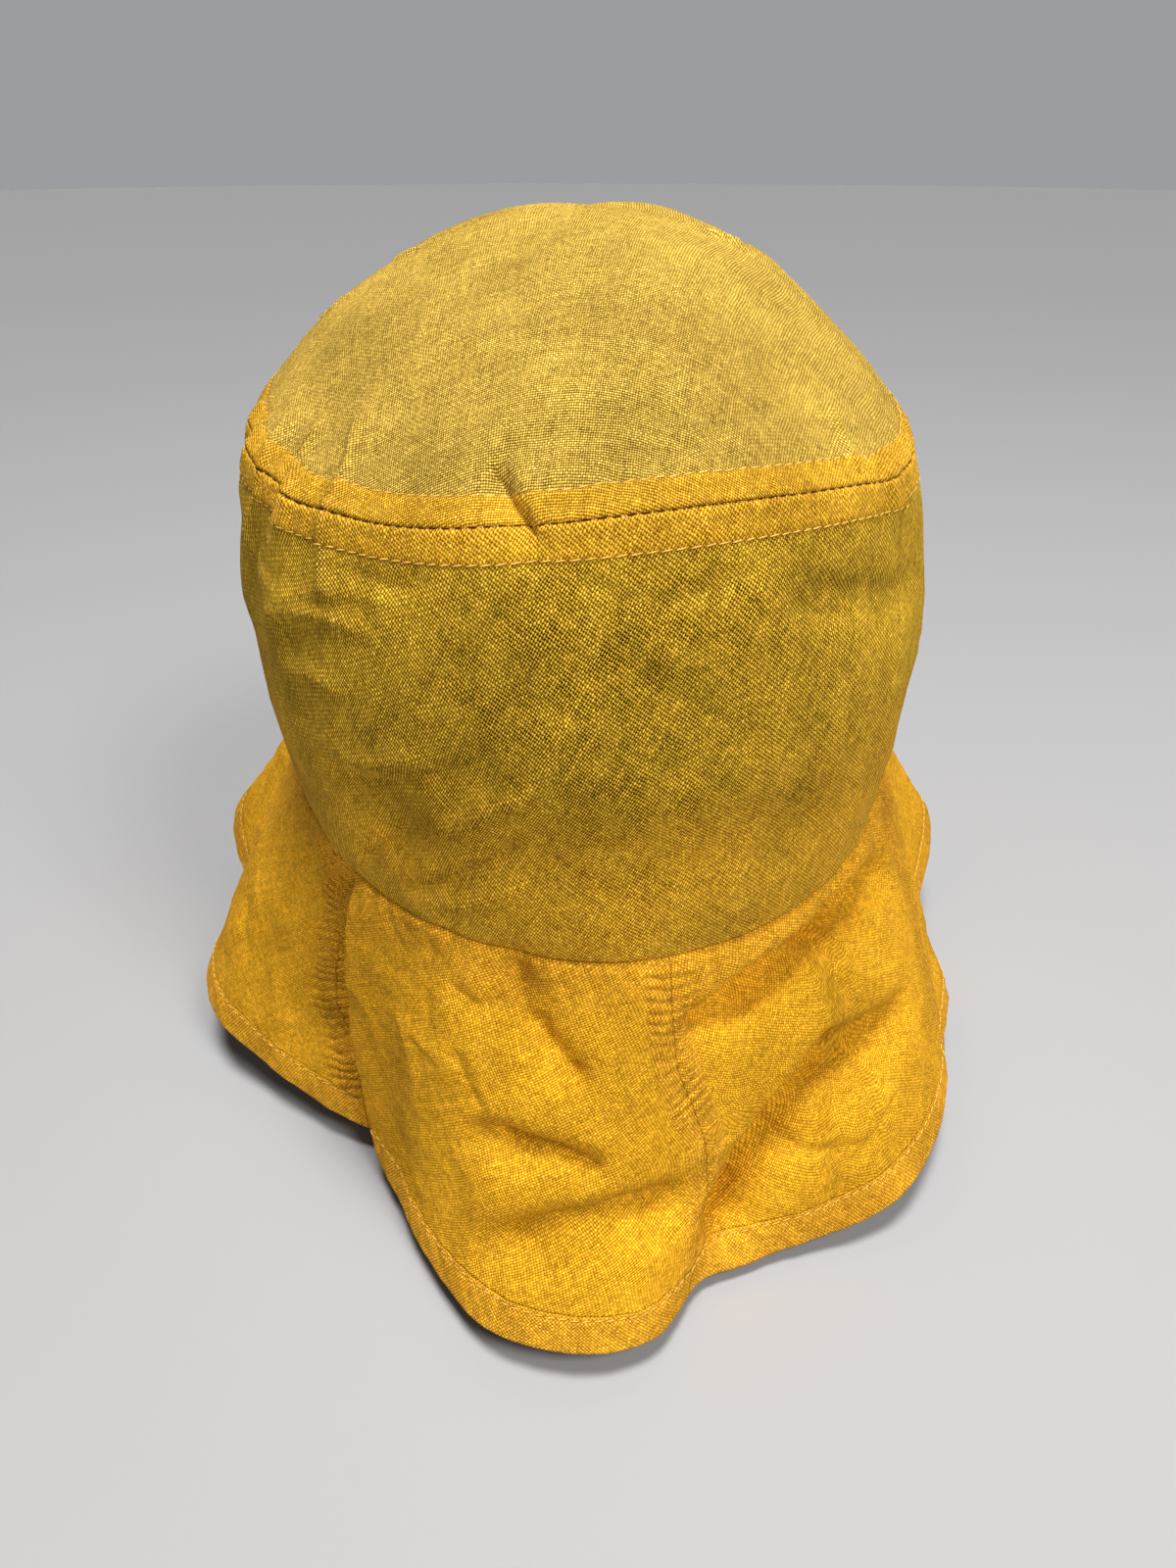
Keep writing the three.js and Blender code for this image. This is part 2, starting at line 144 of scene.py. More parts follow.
# Smaller creases that only the finished cloth has: a run of turns and rows, the height, and how far the
# crease reaches on its lower or left side and on its other side, in metres
CREASES = (
    # Gathers that fan out below the left end of the top seam
    (((-43.5, 0.78), (-42.5, 0.84), (-40, 0.9), (-39, 0.99), (-39.5, 1.09), (-40, 1.22)), 0.0020, 0.0016, 0.0045),
    (((-53, 0.84), (-51.5, 0.88), (-49.5, 0.94), (-48, 1.0), (-49.5, 1.05), (-54.5, 1.18), (-55, 1.32)),
     0.0022, 0.0018, 0.0045),
    (((-60, 0.88), (-58.5, 0.93), (-58, 0.98), (-58.5, 1.06), (-62, 1.14), (-66, 1.27)), 0.0020, 0.0018, 0.004),
    (((-66, 0.91), (-66, 1.0), (-70, 1.17)), 0.0016, 0.0018, 0.004),
    (((-75, 0.92), (-76, 1.02), (-80, 1.22)), 0.0014, 0.0018, 0.004),
    (((-56, 1.33), (-46, 1.26), (-38, 1.23), (-30, 1.23)), 0.0015, 0.0022, 0.003),
    (((-53, 1.45), (-42, 1.4), (-34, 1.41)), 0.0010, 0.002, 0.003),
    (((-52, 1.27), (-40, 1.17), (-32, 1.15), (-26, 1.16)), 0.0009, 0.0018, 0.003),
    (((-36, 1.11), (-27.5, 1.12), (-20, 1.09)), -0.0008, 0.003, 0.002),
    # The short tuck in the top seam
    (((-14, 0.9), (-11.5, 0.94), (-10, 0.97), (-8, 1.0), (-6.5, 1.04)), -0.0020, 0.0026, 0.0015),
    (((-11, 0.89), (-8, 0.95), (-5.5, 1.0)), 0.0008, 0.0015, 0.003),
    # The right corner
    (((45, 0.84), (44, 0.91), (43.5, 0.98)), 0.0014, 0.0032, 0.0018),
    (((52, 0.92), (53, 1.0), (55, 1.1)), 0.0013, 0.0034, 0.0018),
    (((47, 0.9), (48, 1.0), (49, 1.1)), -0.0009, 0.002, 0.003),
    (((30, 1.17), (38.5, 1.2), (45.5, 1.23), (58, 1.27)), -0.0010, 0.0030, 0.0014),
    (((27, 1.21), (36.5, 1.25), (48.5, 1.3), (62, 1.31)), -0.0008, 0.0036, 0.002),
    # Faint lines across the band
    (((-3, 1.08), (3, 1.13), (8, 1.15), (15.5, 1.15), (24, 1.13)), -0.0008, 0.0036, 0.0016),
    (((-3, 1.08), (-10, 1.16), (-16.5, 1.25), (-25.5, 1.39)), -0.0007, 0.0022, 0.0036),
    (((0, 1.19), (7.5, 1.3), (15.5, 1.37), (23, 1.5)), -0.0005, 0.004, 0.0025),
    (((-39, 1.64), (-28.5, 1.6), (-21.5, 1.54), (-17, 1.46)), -0.0020, 0.0032, 0.0016),
    (((-40, 1.58), (-30, 1.55), (-22, 1.49)), 0.0013, 0.0018, 0.003),
    (((-25, 1.69), (-18.5, 1.67), (-13.5, 1.61), (-6, 1.54)), 0.0016, 0.0016, 0.0032),
    (((-42, 1.93), (-35, 1.82), (-30, 1.74), (-26, 1.67)), -0.0018, 0.003, 0.0016),
    (((-31, 1.93), (-22, 1.83), (-15.5, 1.75), (-9, 1.67)), -0.0022, 0.0028, 0.0015),
    (((-24, 1.94), (-16, 1.86), (-9, 1.79)), 0.0013, 0.0016, 0.003),
    (((20, 1.91), (29, 1.81), (38, 1.7)), -0.0007, 0.0036, 0.002),
    (((14, 1.82), (22.5, 1.69), (29, 1.59)), -0.0005, 0.004, 0.0024),
    # The brim's right panel, where the first reach is the upper one
    (((62, 2.17), (52, 2.13), (44, 2.11), (31, 2.14), (19, 2.2)), -0.0085, 0.0044, 0.010),
    (((58, 2.62), (50, 2.56), (42, 2.53), (34, 2.57), (29, 2.62), (25, 2.68), (22, 2.75), (19, 2.84), (16, 2.95)),
     -0.0082, 0.0054, 0.011),
    (((55, 2.6), (44, 2.56), (36, 2.63), (30, 2.72)), 0.0009, 0.004, 0.0022),
    (((29, 2.62), (33, 2.71), (38, 2.76), (45, 2.79)), -0.0016, 0.004, 0.0025),
    (((52, 2.73), (45, 2.78), (39, 2.83)), -0.0008, 0.0016, 0.003),
    (((64, 2.03), (66, 2.2), (70, 2.45)), 0.0014, 0.004, 0.006),
    (((70, 2.05), (74, 2.3), (77, 2.55)), -0.0014, 0.004, 0.005),
    # The front panel
    (((-12, 2.01), (-11, 2.09), (-9.5, 2.17), (-6.5, 2.22), (-3.5, 2.29), (0, 2.36)), -0.0034, 0.0060, 0.0038),
    (((-24, 2.15), (-17.5, 2.17), (-12, 2.12)), -0.0016, 0.0044, 0.0028),
    (((-22, 2.31), (-18.5, 2.38), (-16, 2.45)), -0.0012, 0.0034, 0.0028),
    (((-15.5, 2.49), (-12, 2.5), (-8, 2.5), (-4, 2.505), (0, 2.53), (3, 2.57)), -0.0040, 0.0075, 0.0036),
    (((-13, 2.79), (-9, 2.74), (-5, 2.69), (-0.5, 2.66), (4, 2.64), (9, 2.66), (13, 2.71)), -0.0046, 0.009, 0.005),
    (((-12, 2.61), (-6, 2.57), (-1, 2.55)), 0.0012, 0.003, 0.003),
    (((-38, 2.78), (-32, 2.84), (-25, 2.9)), -0.0012, 0.003, 0.004),
    (((-34, 2.3), (-30, 2.46), (-27, 2.62)), 0.0012, 0.005, 0.004),
    (((-25, 2.03), (-28, 2.2), (-26, 2.35)), -0.0014, 0.005, 0.004),
    (((-53, 2.03), (-55.5, 2.3), (-56, 2.5), (-55, 2.7), (-52, 2.87)), -0.0022, 0.0045, 0.004),
)

# The front panel's left edge rolls forward and hides what lies behind it: its line, how far it stands
# forward, and how far it reaches towards the seam and towards the front
ROLLED_EDGE = (
    (-42.5, 1.98), (-43.5, 2.05), (-45, 2.2), (-46.5, 2.35), (-48, 2.5), (-48.3, 2.65), (-47, 2.8), (-44.5, 2.92),
    (-41.5, 3.03),
)
ROLL_HEIGHT = 0.0028
ROLL_RECESS = 0.0052
ROLL_BACK = 0.0024
ROLL_FRONT = 0.014


def around(table, turn):
    """A smooth closed curve through (turn, value) rows."""
    rows = np.array(table, dtype=float)
    angle = np.concatenate([rows[-2:, 0] - 360, rows[:, 0], rows[:3, 0] + 360])
    value = np.concatenate([rows[-2:, 1], rows[:, 1], rows[:3, 1]])
    slope = (value[2:] - value[:-2]) / (angle[2:] - angle[:-2])
    place = (turn + 180) % 360 - 180
    low = np.clip(np.searchsorted(angle, place, side="right") - 1, 1, len(angle) - 3)
    span = angle[low + 1] - angle[low]
    u = (place - angle[low]) / span
    hold = 2 * u**3 - 3 * u**2
    leave = slope[low - 1] * span * (u**3 - 2 * u**2 + u)
    arrive = slope[low] * span * (u**3 - u**2)
    return (hold + 1) * value[low] + leave - hold * value[low + 1] + arrive


def wave(table, turn):
    """The seam's height above its level, in metres."""
    height = np.zeros_like(turn)
    for times, cosine, sine in table:
        angle = np.radians(times * turn)
        height += cosine * np.cos(angle) + sine * np.sin(angle)
    return height * BAND_HEIGHT


def outward(turn):
    """The level direction square to the head opening."""
    angle = np.radians(turn)
    way = np.stack([OPENING_LENGTH * np.sin(angle), -OPENING_WIDTH * np.cos(angle), 0 * angle], -1)
    return way / np.linalg.norm(way, axis=-1, keepdims=True)


def brim_seam(turn):
    angle = np.radians(turn)
    height = wave(BRIM_SEAM_WAVES, turn)
    return np.stack([OPENING_WIDTH * np.sin(angle), -OPENING_LENGTH * np.cos(angle), height], -1)


def top_seam(turn):
    angle = np.radians(turn)
    height = BAND_HEIGHT + wave(TOP_SEAM_WAVES, turn)
    return np.stack([TIP_WIDTH * np.sin(angle) - TIP_SHIFT, -TIP_LENGTH * np.cos(angle), height], -1)


def tip_point(turn, share):
    share = np.clip(share, 0, 2)
    point = top_seam(turn)
    rim = point[:, 2] - BAND_HEIGHT
    point[:, :2] *= share[:, None]
    point[:, 2] = BAND_HEIGHT + rim * share + TIP_RISE * (1 - share**TIP_ROUNDNESS)
    return point


def band_point(turn, share):
    point = top_seam(turn) * (1 - share)[:, None] + brim_seam(turn) * share[:, None]
    return point + outward(turn) * (BAND_BULGE * np.sin(np.pi * share))[:, None]


def brim_point(turn, share):
    """The brim keeps its length: where it reaches out further it falls less."""
    share = np.clip(share, 0, 1)
    steps = 24
    reach = BRIM_LENGTH * around(HEM_REACH, turn)
    ease = 0.95 + 0.2 * np.cos(np.radians(turn))
    length = BRIM_LENGTH / steps
    drop = np.zeros_like(turn)
    out = np.zeros_like(turn)
    for step in range(1, steps + 1):
        further = reach * (step / steps) ** ease
        part = np.clip(share * steps - step + 1, 0, 1)
        drop += part * np.sqrt(np.maximum(length**2 - (further - out) ** 2, 0))
        out = further
    point = brim_seam(turn) + outward(turn) * (reach * share**ease)[:, None]
    point[:, 2] -= drop
    return point


def from_run(turn, row, start, end):
    """A place's distance from a straight run in metres, its share of the way along it, and its side of it."""
    per_turn = math.radians(1) * OPENING_LENGTH
    around_by = (turn - start[0] + 180) % 360 - 180
    away = np.stack([around_by * per_turn, (row - start[1]) * BRIM_LENGTH])
    run = np.array([(end[0] - start[0]) * per_turn, (end[1] - start[1]) * BRIM_LENGTH])
    along = np.clip((away[0] * run[0] + away[1] * run[1]) / (run @ run), 0, 1)
    gap = np.hypot(away[0] - along * run[0], away[1] - along * run[1])
    return gap, along, run[0] * away[1] - run[1] * away[0]


def cloth_point(turn, row):
    """The cloth's middle surface: row 0 to 1 is the tip, to 2 the band and to 3 the brim."""
    turn = (turn + 180) % 360 - 180
    point = np.where((row < 1)[:, None], tip_point(turn, row), band_point(turn, row - 1))
    point = np.where((row < 2)[:, None], point, brim_point(turn, row - 2))
    push = np.zeros_like(turn)
    for fold in FOLDS:
        size = BAND_HEIGHT if fold[1] < 2 else BRIM_LENGTH
        gap = from_run(turn, row, fold[0:2], fold[2:4])[0]
        push += fold[4] * size * np.exp(-((gap / (fold[5] * size)) ** 2))
    return point + outward(turn) * (push * np.minimum(row, 1))[:, None]


def cloth_normal(turn, row):
    """The direction out of the cloth, taken over a few millimetres."""
    wide, deep = 1.2, 0.02
    sideways = cloth_point(turn + wide, row) - cloth_point(turn - wide, row)
    upwards = cloth_point(turn, np.maximum(row - deep, 0)) - cloth_point(turn, np.minimum(row + deep, 3))
    normal = np.cross(sideways, upwards)
    normal[row < deep] = (0, 0, 1)
    return normal / np.linalg.norm(normal, axis=-1, keepdims=True)


def seam_turn(number, row):
    """The turn of a brim seam at a row, seam 0 being the one right of the front."""
    straight = FIRST_SEAM + PANEL_TURN * number
    drift = SEAM_DRIFT.get((straight + 180) % 360 - 180)
    if drift is None:
        return np.full_like(row, float(straight))
    rows, turns = zip(*drift)
    return straight + np.interp(row, rows, turns)


def grain(place, size, seed):
    """Smooth noise from -1 to 1 whose swells are about one size across."""
    place = place / size + seed * 7.31
    cell = np.floor(place).astype(np.int64)
    part = place - cell
    part = part * part * (3 - 2 * part)
    dims = place.shape[1]
    total = np.zeros(len(place))
    for corner in range(2**dims):
        mixed = np.full(len(place), seed * 2654435761 + 12345, dtype=np.int64)
        weight = np.ones(len(place))
        for axis in range(dims):
            bit = (corner >> axis) & 1
            prime = (73856093, 19349663, 83492791)[axis]
            mixed ^= (cell[:, axis] + bit) * prime
            weight *= part[:, axis] if bit else 1 - part[:, axis]
        mixed = (mixed ^ (mixed >> 13)) * 1274126177 & 0x7FFFFFFF
        mixed = (mixed ^ (mixed >> 15)) & 0xFFFF
        total += weight * (mixed / 32767.5 - 1)
    return total


def ease_in(value, low, high):
    """0 up to low, 1 from high, and smooth between."""
    u = np.clip((value - low) / (high - low), 0, 1)
    return u * u * (3 - 2 * u)


def hump(distance, width):
    return np.exp(-((distance / width) ** 2))


class Spots:
    """Places on the cloth, with how far each lies from the seams."""

    def __init__(self, turn, row):
        self.turn = (np.asarray(turn, dtype=float) + 180) % 360 - 180
        self.row = np.asarray(row, dtype=float)
        self.point = cloth_point(self.turn, self.row)
        self.normal = cloth_normal(self.turn, self.row)
        radius = np.hypot(self.point[:, 0], self.point[:, 1])
        unit = np.where(self.row < 1, TIP_RIM_LENGTH, BAND_HEIGHT)
        self.from_top = (self.row - 1) * unit
        self.from_brim = (self.row - 2) * BRIM_LENGTH
        self.from_edge = (3 - self.row) * BRIM_LENGTH
        self.from_gore = np.full_like(self.row, 1.0)
        for number in range(6):
            part = (self.turn - seam_turn(number, self.row) + 180) % 360 - 180
            gap = np.radians(part) * radius
            self.from_gore = np.where(np.abs(gap) < np.abs(self.from_gore), gap, self.from_gore)
        self.along = np.radians(self.turn) * MEAN_RADIUS
        self.flat = np.stack([self.along, self.row * BRIM_LENGTH], -1)


def backed(spots):
    """1 where allowances or the hem lie behind the cloth, and 0 where it is single."""
    top = 1 - ease_in(np.abs(spots.from_top), TOP_ALLOWANCE - 0.0004, TOP_ALLOWANCE + 0.0006)
    brim = spots.row > 2
    gore = (1 - ease_in(np.abs(spots.from_gore), GORE_ALLOWANCE - 0.0008, GORE_ALLOWANCE + 0.0008)) * brim
    hem = 1 - ease_in(spots.from_edge, HEM_WIDTH - 0.0006, HEM_WIDTH + 0.0004)
    return np.clip(top + gore + hem, 0, 1)


def crease(turn, row, run, height, lower, upper):
    """One crease along a run, sharp at its line and fading out at both ends."""
    legs = [math.dist((a[0] / 57, a[1]), (b[0] / 57, b[1])) for a, b in zip(run, run[1:])]
    nearest = np.full_like(turn, np.inf)
    reached = np.zeros_like(turn)
    side = np.zeros_like(turn)
    walked = 0
    for start, end, leg in zip(run, run[1:], legs):
        gap, along, this_side = from_run(turn, row, start, end)
        closer = gap < nearest
        nearest = np.where(closer, gap, nearest)
        reached = np.where(closer, (walked + along * leg) / sum(legs), reached)
        side = np.where(closer, this_side, side)
        walked += leg
    shape = np.exp(-((nearest / np.where(side > 0, lower, upper)) ** 1.4))
    return height * shape * ease_in(reached, 0, 0.2) * (1 - ease_in(reached, 0.8, 1))


def rolled_edge(turn, row):
    """The front panel's edge: a steep drop towards the seam, and a long easy slope towards the front."""
    nearest = np.full_like(turn, np.inf)
    side = np.zeros_like(turn)
    for start, end in zip(ROLLED_EDGE, ROLLED_EDGE[1:]):
        gap, _, this_side = from_run(turn, row, start, end)
        closer = gap < nearest
        nearest = np.where(closer, gap, nearest)
        side = np.where(closer, this_side, side)
    drop = np.exp(-((nearest / ROLL_BACK) ** 2))
    behind = ROLL_HEIGHT * drop - ROLL_RECESS * (1 - drop) * np.exp(-((nearest / 0.016) ** 2))
    front = ROLL_HEIGHT * np.exp(-((nearest / ROLL_FRONT) ** 2.6))
    return np.where(side > 0, behind, front) * (row > 2) * ease_in(row, 1.99, 2.12)


def scattered_creases(count, seed):
    """Short creases over the sides and the back, where the cloth has been crushed in wear."""
    draw = np.random.default_rng(seed)
    made = []
    for _ in range(count):
        turn = draw.uniform(78, 282)
        row = draw.choice((draw.uniform(0.35, 0.95), draw.uniform(1.1, 1.9), draw.uniform(2.05, 2.8)), p=(0.2, 0.35, 0.45))
        lean = draw.uniform(-1.1, 1.1)
        length = draw.uniform(0.012, 0.034)
        run = []
        for step in (-1, 0, 1):
            bend = lean + 0.35 * step * draw.uniform(-1, 1)
            run.append((turn + step * length / 2 * math.sin(bend) * 560, row + step * length / 2 * math.cos(bend) * 9.8))
        if row < 2 or row > 2.06:
            height = draw.choice((-1, 1)) * draw.uniform(0.0005, 0.0014)
            made.append((tuple(run), height, draw.uniform(0.0018, 0.004), draw.uniform(0.0018, 0.004)))
    return tuple(made)


ALL_CREASES = CREASES + scattered_creases(90, 5)


def creased(spots):
    """All the creases together, each evaluated only near its own run."""
    turn = spots.turn + 0.7 * grain(spots.flat, 0.014, 31)
    row = spots.row + 0.009 * grain(spots.flat, 0.014, 32)
    height = np.zeros_like(turn)
    for run, tall, lower, upper in ALL_CREASES:
        middle = run[len(run) // 2]
        reach = 12 + max(abs(place[0] - middle[0]) for place in run)
        near = np.abs((turn - middle[0] + 180) % 360 - 180) < reach
        if near.any():
            height[near] += crease(turn[near], row[near], run, tall, lower, upper)
    return height + rolled_edge(turn, row)


def crinkle(place, size, seed):
    """Fine sharp ridges between soft hollows, from 0 to 1."""
    bend = np.stack([grain(place, size * 1.4, seed + step) for step in (40, 50, 60)[: place.shape[1]]], -1)
    return (1 - np.abs(grain(place + 0.45 * size * bend, size, seed))) ** 2


def relief(spots):
    """How far the finished cloth stands off its middle surface, in metres."""
    brim = (spots.row > 2).astype(float)
    crown = 1 - brim
    swell = 0.0007 * grain(spots.point, 0.034, 1) + 0.0005 * grain(spots.point, 0.015, 2)
    rough = 0.25 + 0.75 * ease_in(grain(spots.point, 0.03, 4), -0.5, 0.7)
    zone = np.where(spots.row < 1, 0.5 + 0.4 * ease_in(spots.row, 0.75, 0.95), 0.8 + 0.45 * brim)
    crush = 0.0007 * crinkle(spots.point, 0.019, 5) + 0.00042 * crinkle(spots.point, 0.0105, 7)
    crush += 0.00022 * crinkle(spots.point, 0.0058, 9) + 0.00012 * grain(spots.point, 0.0032, 6)
    height = swell + crush * rough * zone + creased(spots)
    # The allowances press a low flat ridge into the cloth, held down along each stitched row
    height += 0.00035 * backed(spots)
    height -= 0.0002 * hump(np.abs(spots.from_top) - TOP_STITCH_LINE, 0.0006)
    height -= 0.0003 * hump(spots.from_edge - HEM_STITCH_LINE, 0.0006) * brim
    height -= 0.00018 * hump(np.abs(spots.from_gore) - GORE_ALLOWANCE, 0.0007) * brim
    # The seams themselves lie in narrow grooves
    height -= 0.0005 * hump(spots.from_top, 0.0005)
    height -= 0.00016 * hump(spots.from_gore, 0.0007) * brim * ease_in(spots.from_edge, 0, 0.002)
    height -= 0.0012 * (1 - ease_in(spots.from_brim, -0.0001, 0.003)) * brim
    height -= 0.0003 * hump(spots.from_brim, 0.0007) * crown
    return height + puckers(spots, rough)


def puckers(spots, rough):
    """The short ridges that the stitching draws up across each seam."""
    brim = (spots.row > 2).astype(float)
    drift = 0.6 * grain(spots.flat, 0.012, 11)
    wander = 0.5 * grain(spots.flat, 0.008, 14)
    uneven = 0.5 + 0.65 * ease_in(grain(spots.flat, 0.007, 12), -0.5, 0.5)
    left = hump(spots.turn + 56, 12)
    near_gore = (1 - ease_in(np.abs(spots.from_gore), 0.0045, 0.0095 + 0.007 * left)) * brim
    upper_front = hump(spots.turn - 13, 9) * (1 - ease_in(spots.row, 2.38, 2.52))
    strength = (0.00012 + 0.00036 * left + 0.00028 * upper_front) * uneven
    slant = 0.5 * spots.from_gore / 0.0028 * ease_in(spots.row, 2.22, 2.4)
    height = strength * np.sin(2 * np.pi * (spots.from_brim / 0.003 + slant + wander)) * near_gore
    height *= ease_in(spots.from_edge, 0.006, 0.012)
    near_top = 1 - ease_in(np.abs(spots.from_top), 0.006, 0.016)
    height += 0.0002 * np.sin(2 * np.pi * (spots.along / 0.0082 + drift)) * near_top * rough
    in_tape = 1 - ease_in(np.abs(spots.from_top), 0.0045, 0.0075)
    height += 0.00013 * np.sin(2 * np.pi * (spots.along / 0.0034 + 2 * drift)) * in_tape * uneven
    below = ease_in(spots.from_brim, 0.0, 0.002) * (1 - ease_in(spots.from_brim, 0.005, 0.018))
    height += 0.00018 * np.sin(2 * np.pi * (spots.along / 0.0062 + drift)) * below
    near_hem = hump(spots.from_edge - HEM_WIDTH * 0.7, 0.006) * brim
    pull = np.sin(2 * np.pi * ((spots.along * 1.25 + 0.6 * spots.from_edge) / 0.0062 + drift))
    return height + 0.00016 * pull * near_hem * uneven


def finish_mesh(name, bm, smooth=True):
    """Makes an object of a bmesh, with its place in its mesh."""
    mesh = bpy.data.meshes.new(name)
    bm.to_mesh(mesh)
    bm.free()
    piece = bpy.data.objects.new(name, mesh)
    bpy.context.scene.collection.objects.link(piece)
    if smooth:
        mesh.shade_smooth()
    return piece


def woven_grid(columns, rows):
    """A flat grid from 0 to 1 both ways, with each vertex's place in it."""
    bm = bmesh.new()
    bmesh.ops.create_grid(bm, x_segments=columns, y_segments=rows, size=0.5)
    bm.verts.ensure_lookup_table()
    place = np.array([vert.co[:2] for vert in bm.verts]) + 0.5
    return bm, place


def rings(place):
    """Reads a square grid as rings round its middle, so that the cloth's rows run into no point."""
    x, y = (2 * place - 1).T
    share = np.maximum(np.abs(x), np.abs(y))
    level = np.abs(x) >= np.abs(y)
    flat_x = np.where(x == 0, 1, x)
    flat_y = np.where(y == 0, 1, y)
    angle = np.where(level, 45 * y / flat_x, 90 - 45 * x / flat_y)
    angle += np.where(np.where(level, x, y) < 0, 180, 0)
    return angle, share


def crowd(share, table):
    """Moves a grid's rows closer together where the cloth has more detail."""
    reached, placed = zip(*table)
    return np.interp(share, reached, placed)


def lay_cloth(bm, points, cloth, marks):
    """Moves the grid onto its places, and keeps the flat cloth's coordinates and the marks for the material."""
    layers = {name: bm.verts.layers.float.new(name) for name in marks}
    for vert, point in zip(bm.verts, points.tolist()):
        vert.co = point
    for name, values in marks.items():
        layer = layers[name]
        for vert, value in zip(bm.verts, values.tolist()):
            vert[layer] = value
    uv = bm.loops.layers.uv.new("cloth")
    flat = cloth.tolist()
    for face in bm.faces:
        for loop in face.loops:
            loop[uv].uv = flat[loop.vert.index]


def close_up(bm):
    """Joins what meets along the closing line and turns the faces outwards."""
    bmesh.ops.remove_doubles(bm, verts=bm.verts[:], dist=0.00001)
    bmesh.ops.dissolve_degenerate(bm, edges=bm.edges[:], dist=0.00001)
    bmesh.ops.recalc_face_normals(bm, faces=bm.faces[:])


def arc_lengths(points, place, columns, rows):
    """The cloth's own coordinates in metres: along the row from its middle, and down from its top."""
    column = np.rint(place[:, 0] * columns).astype(int)
    line = np.rint(place[:, 1] * rows).astype(int)
    table = np.zeros((columns + 1, rows + 1, 3))
    table[column, line] = points
    across = np.zeros((columns + 1, rows + 1))
    down = np.zeros((columns + 1, rows + 1))
    across[1:] = np.cumsum(np.linalg.norm(np.diff(table, axis=0), axis=-1), axis=0)
    down[:, 1:] = np.cumsum(np.linalg.norm(np.diff(table, axis=1), axis=-1), axis=1)
    across -= across[columns // 2]
    return np.stack([across[column, line], -down[column, line]], -1)


def give_wall(piece, thickness):
    wall = piece.modifiers.new("cloth wall", "SOLIDIFY")
    wall.thickness = thickness
    wall.offset = 0
    wall.use_quality_normals = True


def on_grain(cloth, grain_ways):
    """Turns a cut's own coordinates so that each of them counts one set of threads."""
    first, second = np.radians(grain_ways)
    ways = np.array([[math.cos(first), math.cos(second)], [math.sin(first), math.sin(second)]])
    return cloth @ ways


def cloth_marks(spots):
    """What the material needs to know at each place, distances in millimetres."""
    crown = spots.row < 2
    seam_gap = np.where(crown, spots.from_top, spots.from_gore)
    stitch_gap = np.where(crown, np.abs(spots.from_top) - TOP_STITCH_LINE, spots.from_edge - HEM_STITCH_LINE)
    return {
        # The backed mark also carries the painted warm shade on both sides of the brim's seam
        "backed": np.clip(backed(spots) + seam_backing_and_painted_bounce(spots), 0, 1),
        "open": open_gaps_and_painted_shade(spots),
        "worn_and_painted_highlight": worn_and_painted_highlight(spots),
        "seam_gap": seam_gap * 1000,
        "stitch_gap": stitch_gap * 1000,
        "seam_run": np.abs(spots.along) * 1000,
    }


def make_sheet(name, bm, spots, stand, cloth, grain_ways, material, thickness):
    """Lays a grid as one cut of cloth and gives it its wall."""
    points = spots.point + spots.normal * stand[:, None]
    lay_cloth(bm, points, on_grain(cloth, grain_ways), cloth_marks(spots))
    close_up(bm)
    face_outwards(bm, spots)
    piece = finish_mesh(name, bm)
    piece.data.materials.append(material)
    give_wall(piece, thickness)
    return piece


def sheet_piece(name, turns, rows, counts, crowding, material, grain_ways, thickness=CLOTH_THICKNESS, inside=0.0,
                keep=1.0):
    """One cut of cloth between two turns and two rows, with its relief and its wall."""
    bm, place = woven_grid(*counts)
    row = rows[0] + (rows[1] - rows[0]) * crowd(place[:, 1], crowding)
    start, end = (edge(row) if callable(edge) else edge for edge in turns)
    across = place[:, 0]
    if start is not end and np.all(np.abs(end - start) > 359):
        # A whole round has more columns at the front than at the back
        middle = 2 * across - 1
        across = 0.5 + 0.5 * (0.75 * middle + 0.25 * middle**3)
    spots = Spots(start + (end - start) * across, row)
    cloth = arc_lengths(spots.point, place, *counts)
    return make_sheet(name, bm, spots, relief(spots) * keep - inside, cloth, grain_ways, material, thickness)


def tip_piece(name, end_row, cells, material, grain_ways):
    """The crown's tip: one cut of cloth whose grid runs in rings, with no seam but its edge."""
    bm, place = woven_grid(cells, cells)
    turn, share = rings(place)
    spots = Spots(turn, crowd(share, TIP_ROWS) * end_row)
    radial = np.hypot(spots.point[:, 0], spots.point[:, 1])
    stretch = 1 + 0.32 * (TIP_RISE / TIP_WIDTH) * spots.row**1.3
    heading = np.radians(spots.turn)
    cloth = (radial * stretch)[:, None] * np.stack([np.sin(heading), np.cos(heading)], -1)
    return make_sheet(name, bm, spots, relief(spots), cloth, grain_ways, material, CLOTH_THICKNESS)


def face_outwards(bm, spots):
    """An open sheet's faces could point either way, so they are set against the cloth's own direction."""
    bm.verts.ensure_lookup_table()
    bm.faces.ensure_lookup_table()
    middle = spots.point.mean(axis=0)
    middle[2] -= 0.02
    face = max(bm.faces, key=lambda one: (one.calc_center_median() - Vector(middle)).length)
    away = face.calc_center_median() - Vector((0, 0, face.calc_center_median().z - 0.02))
    if face.normal.dot(away) < 0:
        bmesh.ops.reverse_faces(bm, faces=bm.faces[:])


def open_gaps_and_painted_shade(spots):
    """How far the weave's gaps stand open, most in the middle of the crown's front; through the open gaps the
    painted shade of the hat's dark inside shows.
    """
    front = hump(spots.turn - 3, 46)
    band = hump(spots.row - 1.5, 0.5)
    tip = hump(spots.row - 0.86, 0.2)
    patch = 0.24 * grain(spots.point, 0.022, 21) + 0.16 * grain(spots.point, 0.009, 22)
    crown = 0.46 + 0.58 * front * np.maximum(band, 0.8 * tip) + patch
    return np.clip(np.where(spots.row < 2, crown, 0.25 + patch), 0, 1)


